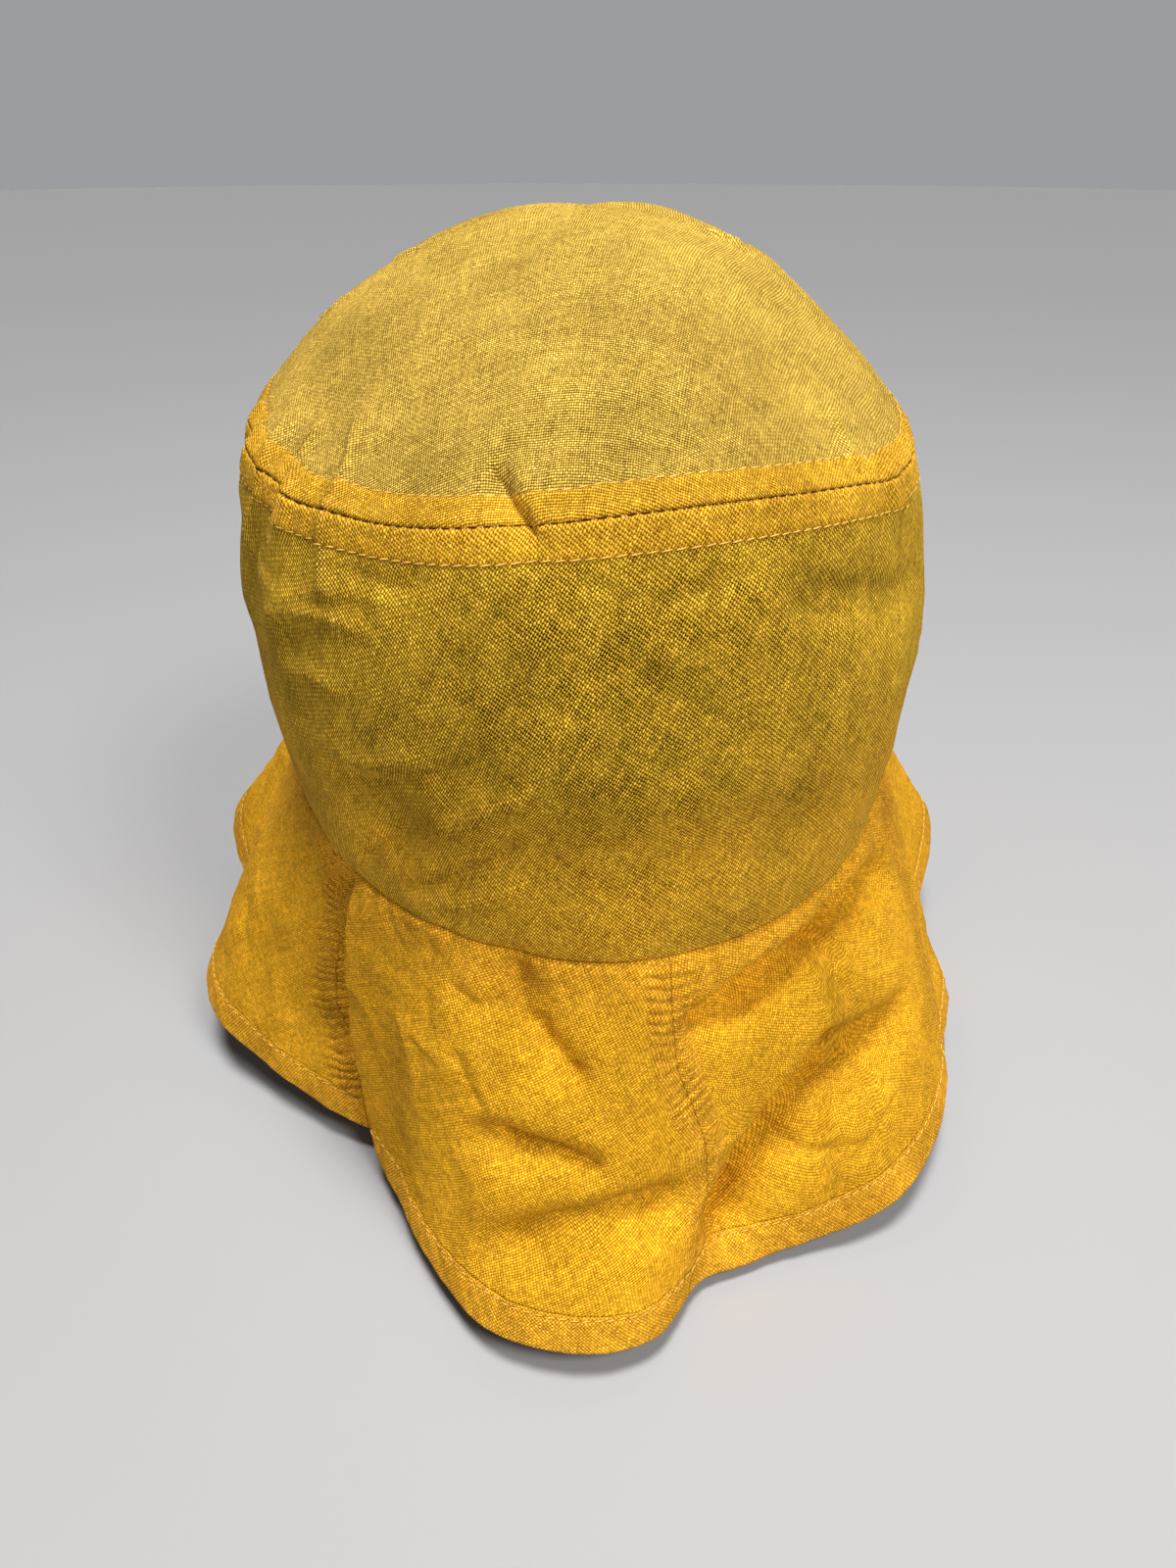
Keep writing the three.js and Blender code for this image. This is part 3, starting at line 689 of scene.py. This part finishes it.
def seam_backing_and_painted_bounce(spots):
    """Both sides of the brim's seam, from the lower part of the band to the top of the brim, take the deeper, warmer
    sewn tones: near the seam from the allowances behind the cloth, and further out as painted warm shade, the colour
    of light bounced between the cloth's folds.
    """
    foot = ease_in(spots.row, 1.44, 1.78) * (1 - ease_in(spots.row, 2.06, 2.22))
    return 0.92 * foot * (0.85 + 0.4 * grain(spots.point, 0.015, 23))


def worn_and_painted_highlight(spots):
    """Paler places, partly wear and partly painted highlight: the hem's folded edge, the crests of the crown's
    creases and a line beside the top seam.
    """
    edge = hump(spots.from_edge, 0.0016)
    crest = ease_in(creased(spots), 0.0009, 0.0019) * (spots.row < 2)
    return np.clip(edge + crest + 0.35 * hump(np.abs(spots.from_top) - 0.0022, 0.0014), 0, 1)


class Finish:
    """Short calls for building one procedural material."""

    def __init__(self, name):
        self.material = bpy.data.materials.new(name)
        self.material.use_nodes = True
        self.tree = self.material.node_tree
        self.shader = self.tree.nodes["Principled BSDF"]

    def node(self, kind, **inputs):
        made = self.tree.nodes.new(kind)
        for name, value in inputs.items():
            self.plug(made.inputs[name.replace("_", " ")], value)
        return made

    def plug(self, socket, value):
        if isinstance(value, bpy.types.NodeSocket):
            self.tree.links.new(value, socket)
        else:
            socket.default_value = value

    def math(self, operation, *values):
        made = self.tree.nodes.new("ShaderNodeMath")
        made.operation = operation
        for socket, value in zip(made.inputs, values):
            self.plug(socket, value)
        return made.outputs[0]

    def mix(self, share, first, second, blend="MIX"):
        made = self.tree.nodes.new("ShaderNodeMix")
        made.data_type = "RGBA"
        made.blend_type = blend
        self.plug(made.inputs[0], share)
        self.plug(made.inputs[6], first)
        self.plug(made.inputs[7], second)
        return made.outputs[2]

    def noise(self, place, scale, detail=2.0, dims="3D", rough=0.5):
        made = self.tree.nodes.new("ShaderNodeTexNoise")
        made.noise_dimensions = dims
        self.plug(made.inputs["Vector"], place)
        made.inputs["Scale"].default_value = scale
        made.inputs["Detail"].default_value = detail
        made.inputs["Roughness"].default_value = rough
        return made.outputs["Fac"]

    def mark(self, name):
        made = self.tree.nodes.new("ShaderNodeAttribute")
        made.attribute_name = name
        return made.outputs["Fac"]

    def vector(self, x, y, z=0.0):
        made = self.tree.nodes.new("ShaderNodeCombineXYZ")
        for socket, value in zip(made.inputs, (x, y, z)):
            self.plug(socket, value)
        return made.outputs[0]

    def ramp(self, value, low, high, start=0.0, end=1.0):
        made = self.tree.nodes.new("ShaderNodeMapRange")
        made.interpolation_type = "SMOOTHSTEP"
        for socket, one in zip(made.inputs, (value, low, high, start, end)):
            self.plug(socket, one)
        return made.outputs[0]


def thread(finish, side, along, number, seed, width):
    """One set of threads: how round each stands at a place, and how its thickness and its dye wander."""
    own = finish.math("MULTIPLY", number, 3.7)
    slub = finish.noise(finish.vector(own, finish.math("MULTIPLY", along, 0.07), seed), 1.0, 3.0)
    dye = finish.noise(finish.vector(own, finish.math("MULTIPLY", along, 0.018), seed + 30.0), 1.0, 1.0)
    lumps = finish.noise(finish.vector(own, finish.math("MULTIPLY", along, 0.42), seed + 60.0), 1.0, 1.0)
    uneven = finish.math("MULTIPLY_ADD", slub, 0.28, finish.math("SUBTRACT", width, 0.27))
    uneven = finish.math("MULTIPLY_ADD", lumps, 0.26, uneven)
    shape = finish.math("DIVIDE", side, finish.math("MAXIMUM", uneven, 0.12))
    shape = finish.math("SUBTRACT", 1.0, finish.math("MULTIPLY", shape, shape))
    tone = finish.math("MULTIPLY", finish.ramp(slub, 0.3, 0.7, 0.9, 1.1), finish.ramp(dye, 0.3, 0.7, 0.93, 1.07))
    tone = finish.math("MULTIPLY", tone, finish.ramp(lumps, 0.28, 0.72, 0.78, 1.2))
    return shape, tone


def thread_bands(finish, across, along):
    """Strips a few threads wide, both ways of the cloth, that lie closer or wider than the rest."""
    down = finish.vector(finish.math("MULTIPLY", across, 0.36), finish.math("MULTIPLY", along, 0.03), 5.0)
    level = finish.vector(finish.math("MULTIPLY", across, 0.03), finish.math("MULTIPLY", along, 0.36), 15.0)
    both = finish.math("ADD", finish.noise(down, 1.0, 2.0), finish.noise(level, 1.0, 2.0))
    return finish.math("SUBTRACT", both, 1.0)


def weave(finish, across, along, width):
    """Plain weave: its height from the gap at -1 to the top of a thread, and the tone of the thread on top."""
    warp_number = finish.math("FLOOR", across)
    weft_number = finish.math("FLOOR", along)
    warp_side = finish.math("SUBTRACT", finish.math("FRACT", across), 0.5)
    weft_side = finish.math("SUBTRACT", finish.math("FRACT", along), 0.5)
    warp, warp_tone = thread(finish, warp_side, along, warp_number, 2.0, width)
    weft, weft_tone = thread(finish, weft_side, across, weft_number, 9.0, width)
    warp_turn = finish.math("ADD", along, finish.math("SUBTRACT", warp_number, 0.5))
    weft_turn = finish.math("ADD", across, finish.math("SUBTRACT", weft_number, 0.5))
    heights = []
    # The warp is drawn tighter than the weft, so it lies a little deeper
    for shape, turn, rise, lie in ((warp, warp_turn, 0.5, -0.32), (weft, weft_turn, -0.5, -0.1)):
        wave_height = finish.math("COSINE", finish.math("MULTIPLY", turn, math.pi))
        rounded = finish.math("SQRT", finish.math("MAXIMUM", shape, 0.0))
        height = finish.math("MULTIPLY_ADD", wave_height, rise, finish.math("MULTIPLY_ADD", rounded, 0.7, lie))
        there = finish.math("GREATER_THAN", shape, 0.0)
        heights.append(finish.math("MULTIPLY_ADD", there, 3.0, finish.math("SUBTRACT", height, 3.0)))
    height = finish.math("MAXIMUM", finish.math("MAXIMUM", heights[0], heights[1]), -1.0)
    warp_on_top = finish.math("GREATER_THAN", heights[0], heights[1])
    weft_part = finish.math("MULTIPLY", weft_tone, finish.math("SUBTRACT", 1.0, warp_on_top))
    return height, finish.math("MULTIPLY_ADD", warp_tone, warp_on_top, weft_part)


def sewn_lines(finish, colour, seam_tone, seam_share, dashed):
    """The thin dark line of a seam, broken where its thread bridges it, and painted shade beside a stitched row."""
    seam = finish.ramp(finish.math("ABSOLUTE", finish.mark("seam_gap")), 0.18, 0.42, seam_share, 0.0)
    if dashed:
        beat = finish.math("SINE", finish.math("MULTIPLY", finish.mark("seam_run"), 2 * math.pi / 3.0))
        seam = finish.math("MULTIPLY", seam, finish.ramp(beat, -0.75, -0.3))
    # Painted shade along each stitched row, where the stitches draw the cloth into a groove
    row = finish.ramp(finish.math("ABSOLUTE", finish.mark("stitch_gap")), 0.12, 0.4, 0.55, 0.0)
    colour = finish.mix(row, colour, (0.42, 0.17, 0.004, 1))
    return finish.mix(seam, colour, (*seam_tone, 1))


def linen(name, pitch, single, sewn, closed, opened, seam_tone, seam_share, dashed):
    """Plain-woven linen: threads pass over and under each other, with gaps that open and close in patches.

    single holds the cloth's tones from the thread's top down to the gap behind it, and sewn the same three where a
    seam allowance or a hem backs the cloth; the tops' tones hold a painted highlight, and the sides' and gaps' tones
    painted shade. closed and opened are the threads' half widths.
    """
    finish = Finish(name)
    tree = finish.tree
    cloth = tree.nodes.new("ShaderNodeUVMap")
    cloth.uv_map = "cloth"
    solid = tree.nodes.new("ShaderNodeTexCoord").outputs["Object"]
    doubled_and_painted_bounce = finish.mark("backed")

    # The rows bend a little, so they close up here and open there
    wander = tree.nodes.new("ShaderNodeTexNoise")
    finish.plug(wander.inputs["Vector"], cloth.outputs[0])
    wander.noise_dimensions = "2D"
    wander.inputs["Scale"].default_value = 60
    wander.inputs["Detail"].default_value = 3
    moved = tree.nodes.new("ShaderNodeVectorMath")
    moved.operation = "MULTIPLY_ADD"
    finish.plug(moved.inputs[0], wander.outputs["Color"])
    moved.inputs[1].default_value = (0.0016, 0.0016, 0)
    finish.plug(moved.inputs[2], cloth.outputs[0])
    parts = tree.nodes.new("ShaderNodeSeparateXYZ")
    finish.plug(parts.inputs[0], moved.outputs[0])
    across = finish.math("DIVIDE", parts.outputs[0], pitch[0])
    along = finish.math("DIVIDE", parts.outputs[1], pitch[1])

    # Where the gaps stand open the threads are thinner
    bands = thread_bands(finish, across, along)
    fine_patch = finish.ramp(finish.noise(solid, 150.0, 3.0, rough=0.6), 0.32, 0.62, 0.35, 1.0)
    open_weave = finish.math("MULTIPLY_ADD", bands, 0.5, finish.math("MULTIPLY", finish.mark("open"), fine_patch))
    open_weave = finish.math("MINIMUM", finish.math("MAXIMUM", open_weave, 0.0), 1.0)
    width = finish.math("MULTIPLY_ADD", open_weave, opened - closed, closed)
    height, thread_tone = weave(finish, across, along, width)

    # Three tones by height: a painted highlight on the threads' tops, and painted shade down their sides and in the
    # gaps. Each is warmer and closer together where the cloth is sewn double, and where the painted warm shade lies
    # beside the brim's seam
    high, middle, low = (
        finish.mix(doubled_and_painted_bounce, (*one, 1), (*two, 1)) for one, two in zip(single, sewn)
    )
    # A paler thread top on worn places and on raised crests: partly wear, partly painted highlight
    high = finish.mix(finish.math("MULTIPLY", finish.mark("worn_and_painted_highlight"), 0.4), high, (0.92, 0.60, 0.12, 1))
    # Open gaps show the gap tone, the painted shade of the hat's inside; where the gaps are shut, a tone between the
    # gap's and the side's
    shut = finish.mix(0.4, low, middle)
    low = finish.mix(finish.math("MAXIMUM", open_weave, finish.math("MULTIPLY", doubled_and_painted_bounce, 0.7)), shut, low)
    colour = finish.mix(finish.ramp(height, -0.9, 0.35), low, middle)
    colour = finish.mix(finish.ramp(height, 0.3, 1.1), colour, high)

    # Dyed unevenly, in patches and from thread to thread
    patches = finish.ramp(finish.noise(solid, 38.0, 4.0, rough=0.6), 0.3, 0.7, 0.84, 1.14)
    tone = finish.math("MULTIPLY", thread_tone, patches)
    tone = finish.math("MULTIPLY", tone, finish.math("MULTIPLY_ADD", bands, -0.14, 1.0))
    colour = finish.mix(1.0, colour, finish.vector(tone, tone, tone), "MULTIPLY")
    colour = sewn_lines(finish, colour, seam_tone, seam_share, dashed)
    finish.plug(finish.shader.inputs["Base Color"], colour)

    # Small crumples too fine for the mesh, then the threads themselves
    fold = finish.math("ABSOLUTE", finish.math("SUBTRACT", finish.noise(solid, 190.0, 3.0, rough=0.55), 0.5))
    crumple = tree.nodes.new("ShaderNodeBump")
    crumple.inputs["Strength"].default_value = 1.0
    crumple.inputs["Distance"].default_value = 0.0011
    finish.plug(crumple.inputs["Height"], finish.math("SUBTRACT", 0.5, fold))
    bump = tree.nodes.new("ShaderNodeBump")
    bump.inputs["Strength"].default_value = 1.0
    bump.inputs["Distance"].default_value = 0.0003
    fluff = finish.noise(solid, 2600.0, 2.0)
    finish.plug(bump.inputs["Height"], finish.math("MULTIPLY_ADD", fluff, 0.5, height))
    finish.plug(bump.inputs["Normal"], crumple.outputs[0])
    finish.plug(finish.shader.inputs["Normal"], bump.outputs[0])
    finish.plug(finish.shader.inputs["Roughness"], finish.ramp(height, -0.9, 0.9, 0.98, 0.85))
    finish.shader.inputs["Specular IOR Level"].default_value = 0.03
    finish.shader.inputs["Sheen Weight"].default_value = 0.02
    finish.shader.inputs["Sheen Roughness"].default_value = 0.5
    finish.shader.inputs["Sheen Tint"].default_value = (1.0, 0.8, 0.3, 1)
    return finish.material


def sewing_thread(name, colour):
    """Twisted thread for the stitches."""
    finish = Finish(name)
    solid = finish.tree.nodes.new("ShaderNodeTexCoord").outputs["Object"]
    twist = finish.noise(solid, 1500.0, 2.0)
    shade = finish.ramp(twist, 0.3, 0.7, 0.75, 1.1)
    bright = finish.vector(shade, shade, shade)
    finish.plug(finish.shader.inputs["Base Color"], finish.mix(1.0, (*colour, 1), bright, "MULTIPLY"))
    bump = finish.tree.nodes.new("ShaderNodeBump")
    bump.inputs["Strength"].default_value = 0.5
    bump.inputs["Distance"].default_value = 0.0001
    finish.plug(bump.inputs["Height"], twist)
    finish.plug(finish.shader.inputs["Normal"], bump.outputs[0])
    finish.shader.inputs["Roughness"].default_value = 0.7
    return finish.material


def sewing_line(turns, row, lift):
    """A line of places on the finished cloth, with the way up and the distance walked at each."""
    spots = Spots(turns, np.full_like(turns, row))
    line = spots.point + spots.normal * (relief(spots) + CLOTH_THICKNESS / 2 + lift)[:, None]
    walked = np.concatenate([[0], np.cumsum(np.linalg.norm(np.diff(line, axis=0), axis=1))])
    return line, spots.normal, walked


def at(table, walked, distance):
    return Vector([float(np.interp(distance, walked, table[:, axis])) for axis in range(3)])


def stitches(name, row, material, lift, length=0.0025, radius=0.00018, across=0.12):
    """A row of stitches along the cloth, each lying a little aslant."""
    line, normals, walked = sewing_line(np.linspace(-180, 180, 1200), row, lift)
    bm = bmesh.new()
    for number in range(int(walked[-1] / STITCH_PITCH)):
        middle = (number + 0.5) * STITCH_PITCH
        up = at(normals, walked, middle).normalized()
        ahead = (at(line, walked, middle + length / 2) - at(line, walked, middle - length / 2)).normalized()
        way = ahead + across * up.cross(ahead)
        add_stitch(bm, at(line, walked, middle), way, up, length, radius)
    piece = finish_mesh(name, bm)
    piece.data.materials.append(material)
    return piece


def add_stitch(bm, centre, way, up, length, radius):
    """One stitch: a small rounded bead drawn out along its thread."""
    way = way.normalized()
    side = up.cross(way).normalized()
    up = way.cross(side)
    turn = Matrix((way, side, up)).transposed().to_4x4()
    size = Matrix.Diagonal((length / 2, radius, radius * 0.85, 1))
    matrix = Matrix.Translation(centre) @ turn @ size @ Matrix.Rotation(math.pi / 2, 4, "Y")
    bmesh.ops.create_uvsphere(bm, u_segments=6, v_segments=5, radius=1, matrix=matrix)


def seam_bars(name, row, material):
    """Pairs of short threads that bridge the open groove of the top seam in small Vs."""
    line, normals, walked = sewing_line(np.linspace(-180, 180, 1200), row, -0.0001)
    bm = bmesh.new()
    for number in range(int(walked[-1] / STITCH_PITCH)):
        for lean, shift in ((0.7, -0.0003), (-0.7, 0.0003)):
            middle = (number + 0.5) * STITCH_PITCH + shift
            up = at(normals, walked, middle).normalized()
            ahead = (at(line, walked, middle + 0.001) - at(line, walked, middle - 0.001)).normalized()
            add_stitch(bm, at(line, walked, middle), up.cross(ahead) + lean * ahead, up, 0.0014, 0.00017)
    piece = finish_mesh(name, bm)
    piece.data.materials.append(material)
    return piece


# The hem's section: a share of the grid, then the distance along the outer face, the fold and the inner face
def hem_section(share):
    """How far down from the hem's top, and how far out of its middle, each row of the hem's grid lies."""
    half = HEM_THICKNESS / 2
    wide = HEM_WIDTH - half
    bend = math.pi * half
    ends = (0, wide, wide + bend, 2 * wide + bend, 2 * wide + bend + 2 * half)
    walked = np.interp(share, (0, 0.44, 0.6, 0.96, 1), ends)
    angle = np.clip((walked - ends[1]) / half, 0, math.pi)
    down = np.where(walked <= ends[1], walked, wide + half * np.sin(angle))
    down = np.where(walked > ends[2], ends[3] - walked, down)
    down = np.where(walked > ends[3], 0, down)
    out = half * np.cos(angle)
    out = np.where(walked > ends[3], walked - ends[3] - half, out)
    return walked, down, out


def hem_piece(name, counts, material):
    """The hem: cloth folded under along the edge, rounded at its fold and level with the brim outside."""
    bm, place = woven_grid(*counts)
    walked, down, out = hem_section(place[:, 1])
    row = 3 - (HEM_WIDTH - down) / BRIM_LENGTH
    middle = 2 * place[:, 0] - 1
    spots = Spots(180 * (0.75 * middle + 0.25 * middle**3), np.minimum(row, 3))
    cloth = arc_lengths(spots.point, place, *counts)
    cloth[:, 1] = -walked
    stand = relief(spots) + out + (CLOTH_THICKNESS - HEM_THICKNESS) / 2
    points = spots.point + spots.normal * stand[:, None]
    lay_cloth(bm, points, on_grain(cloth, HEM_GRAIN), cloth_marks(spots))
    close_up(bm)
    piece = finish_mesh(name, bm)
    piece.data.materials.append(material)
    return piece


# Materials: tones from a thread's top, its side and the gap behind it; the top's tone holds a painted highlight, and
# the side's and the gap's tones hold painted shade
# The crown's near-black gap tones are the painted shade of the hat's dark inside, seen through the weave.
SEWN_CROWN = ((0.99, 0.60, 0.070), (0.66, 0.30, 0.003), (0.17, 0.056, 0.0006))
SEWN_BRIM = ((0.95, 0.51, 0.050), (0.65, 0.265, 0.001), (0.24, 0.078, 0.0006))
TIP_TONES = ((0.98, 0.655, 0.155), (0.43, 0.255, 0.010), (0.032, 0.019, 0.0008))
BAND_TONES = ((0.99, 0.63, 0.065), (0.35, 0.175, 0.002), (0.012, 0.007, 0.0003))
BRIM_TONES = ((0.96, 0.53, 0.040), (0.70, 0.30, 0.001), (0.22, 0.075, 0.0006))
GROOVE = (0.13, 0.028, 0.003)
ORANGE_LINE = (0.42, 0.15, 0.003)
tip_linen = linen("tip_linen", TIP_PITCH, TIP_TONES, SEWN_CROWN, 0.42, 0.29, GROOVE, 0.95, True)
band_linen = linen("band_linen", BAND_PITCH, BAND_TONES, SEWN_CROWN, 0.42, 0.27, GROOVE, 0.95, True)
brim_linen = linen("brim_linen", BRIM_PITCH, BRIM_TONES, SEWN_BRIM, 0.45, 0.33, ORANGE_LINE, 0.35, False)
hem_linen = linen("hem_linen", BRIM_PITCH, BRIM_TONES, SEWN_BRIM, 0.45, 0.36, ORANGE_LINE, 0.7, False)
tape_linen = linen("tape_linen", BRIM_PITCH, SEWN_CROWN, SEWN_CROWN, 0.45, 0.36, ORANGE_LINE, 0.0, False)
row_thread = sewing_thread("row_thread", (0.95, 0.56, 0.09))
bridge_thread = sewing_thread("bridge_thread", (0.95, 0.60, 0.17))

TIP_END = 1 - 0.00012 / TIP_RIM_LENGTH
BAND_START = 1 + 0.00012 / BAND_HEIGHT
EVEN_ROWS = ((0, 0), (1, 1))
FINE_PANEL = (170, 160)
PLAIN_PANEL = (100, 104)

pieces = []


def dress(piece, nodes):
    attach(piece, "root")
    if nodes:
        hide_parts(*nodes)
    pieces.append(piece)
    return piece


tip = tip_piece("crown_tip_cloth", TIP_END, 214, tip_linen, TIP_GRAIN)
dress(tip, ["crown_tip"])
band = sheet_piece(
    "crown_band_cloth", (-180, 180), (BAND_START, 1.9985), (480, 100), BAND_ROWS, band_linen, BAND_GRAIN
)
dress(band, ["crown_band"])
tape = sheet_piece(
    "top_seam_allowance", (-180, 180), (1 - TOP_ALLOWANCE / TIP_RIM_LENGTH, 1 + TOP_ALLOWANCE / BAND_HEIGHT),
    (300, 10), EVEN_ROWS, tape_linen, BAND_GRAIN, thickness=TAPE_THICKNESS, inside=0.0014, keep=0.5,
)
dress(tape, ["top_seam_tape"])

gap_turn = math.degrees(0.00003 / OPENING_WIDTH)
tape_turn = math.degrees(GORE_ALLOWANCE / MEAN_RADIUS)
for number in range(6):
    panel = sheet_piece(
        f"brim_panel_{number + 1}_cloth",
        (lambda row, n=number: seam_turn(n, row) + gap_turn, lambda row, n=number: seam_turn(n + 1, row) - gap_turn),
        (2.0015, 3 - HEM_SHARE - 0.0006), FINE_PANEL if number in (0, 4, 5) else PLAIN_PANEL, PANEL_ROWS,
        brim_linen, PANEL_GRAIN[number],
    )
    dress(panel, [f"brim_panel_{number + 1}"])
    strip = sheet_piece(
        f"gore_allowance_{number + 1}",
        (lambda row, n=number: seam_turn(n, row) - tape_turn, lambda row, n=number: seam_turn(n, row) + tape_turn),
        (2.07, 3 - HEM_SHARE - 0.002), (10, 70), EVEN_ROWS, tape_linen, PANEL_GRAIN[number],
        thickness=TAPE_THICKNESS, inside=0.0014, keep=0.6,
    )
    dress(strip, [f"gore_seam_tape_{number + 1}"])

hem = hem_piece("brim_hem_cloth", (1000, 34), hem_linen)
dress(hem, ["brim_hem"])

# Stitched rows
tip_stitch = stitches("tip_topstitch", 1 - TOP_STITCH_LINE / TIP_RIM_LENGTH, row_thread, 0.00022)
band_stitch = stitches("band_topstitch", 1 + TOP_STITCH_LINE / BAND_HEIGHT, row_thread, 0.00022)
hem_stitch = stitches("hem_topstitch", 3 - HEM_STITCH_LINE / BRIM_LENGTH, row_thread, 0.00022)
seam_bar = seam_bars("top_seam_threads", 1.0, bridge_thread)
for made in (tip_stitch, band_stitch, seam_bar):
    dress(made, [])
dress(hem_stitch, [])

# A loop over the six panels that makes nothing
for number in range(6):
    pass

# Floor, light and camera
floor_material = Finish("pale_floor")
floor_material.shader.inputs["Base Color"].default_value = (0.40, 0.40, 0.41, 1)
floor_material.shader.inputs["Roughness"].default_value = 0.85
bm = bmesh.new()
bmesh.ops.create_circle(bm, cap_ends=True, segments=64, radius=6)
for vert in bm.verts:
    vert.co.z = cad_box[0].z - 0.001
floor = finish_mesh("floor", bm, smooth=False)
floor.data.materials.append(floor_material.material)


def aim_light(data, place, power):
    """Put a light at a place and turn it to the middle of the hat."""
    data.energy = power
    data.color = (1.0, 0.99, 0.97)
    light = bpy.data.objects.new(data.name, data)
    light.location = place
    light.rotation_mode = "QUATERNION"
    light.rotation_quaternion = (-Vector(place)).to_track_quat("-Z", "Y")
    bpy.context.scene.collection.objects.link(light)


def area_light(name, place, size, power):
    data = bpy.data.lights.new(name, "AREA")
    data.shape = "DISK"
    data.size = size
    aim_light(data, place, power)


area_light("over", (0.0, -0.15, 1.25), 0.42, 4.4)
area_light("front", (0.50, -0.80, 0.95), 0.4, 11.5)
# Wide light from above that reaches the whole floor alike
sky = bpy.data.lights.new("sky", "SUN")
sky.angle = math.radians(16)
aim_light(sky, (0.0, -0.12, 1.25), 2.6)
world = bpy.data.worlds.new("studio")
bpy.context.scene.world = world
world.use_nodes = True
world.node_tree.nodes["Background"].inputs[0].default_value = (0.78, 0.80, 0.84, 1)
room = world.node_tree
facing = room.nodes.new("ShaderNodeSeparateXYZ")
room.links.new(room.nodes.new("ShaderNodeTexCoord").outputs["Generated"], facing.inputs[0])
# The room is paler round about than overhead
height_up = room.nodes.new("ShaderNodeMath")
height_up.operation = "ABSOLUTE"
room.links.new(facing.outputs[2], height_up.inputs[0])
paleness = room.nodes.new("ShaderNodeMapRange")
paleness.interpolation_type = "SMOOTHSTEP"
for socket, value in zip(list(paleness.inputs)[1:5], (0.2, 0.6, 0.42, 0.05)):
    socket.default_value = value
room.links.new(height_up.outputs[0], paleness.inputs[0])
room.links.new(paleness.outputs[0], room.nodes["Background"].inputs[1])
bpy.context.scene.view_settings.view_transform = "Standard"

camera_data = bpy.data.cameras.new("camera")
camera_data.lens = 27
camera_data.sensor_width = 36
camera_data.clip_start = 0.01
camera = bpy.data.objects.new("camera", camera_data)
camera.location = (-0.0006, -0.3222, 0.1672)
camera.rotation_euler = (math.radians(90 - 29.52), 0, 0)
bpy.context.scene.collection.objects.link(camera)
bpy.context.scene.camera = camera
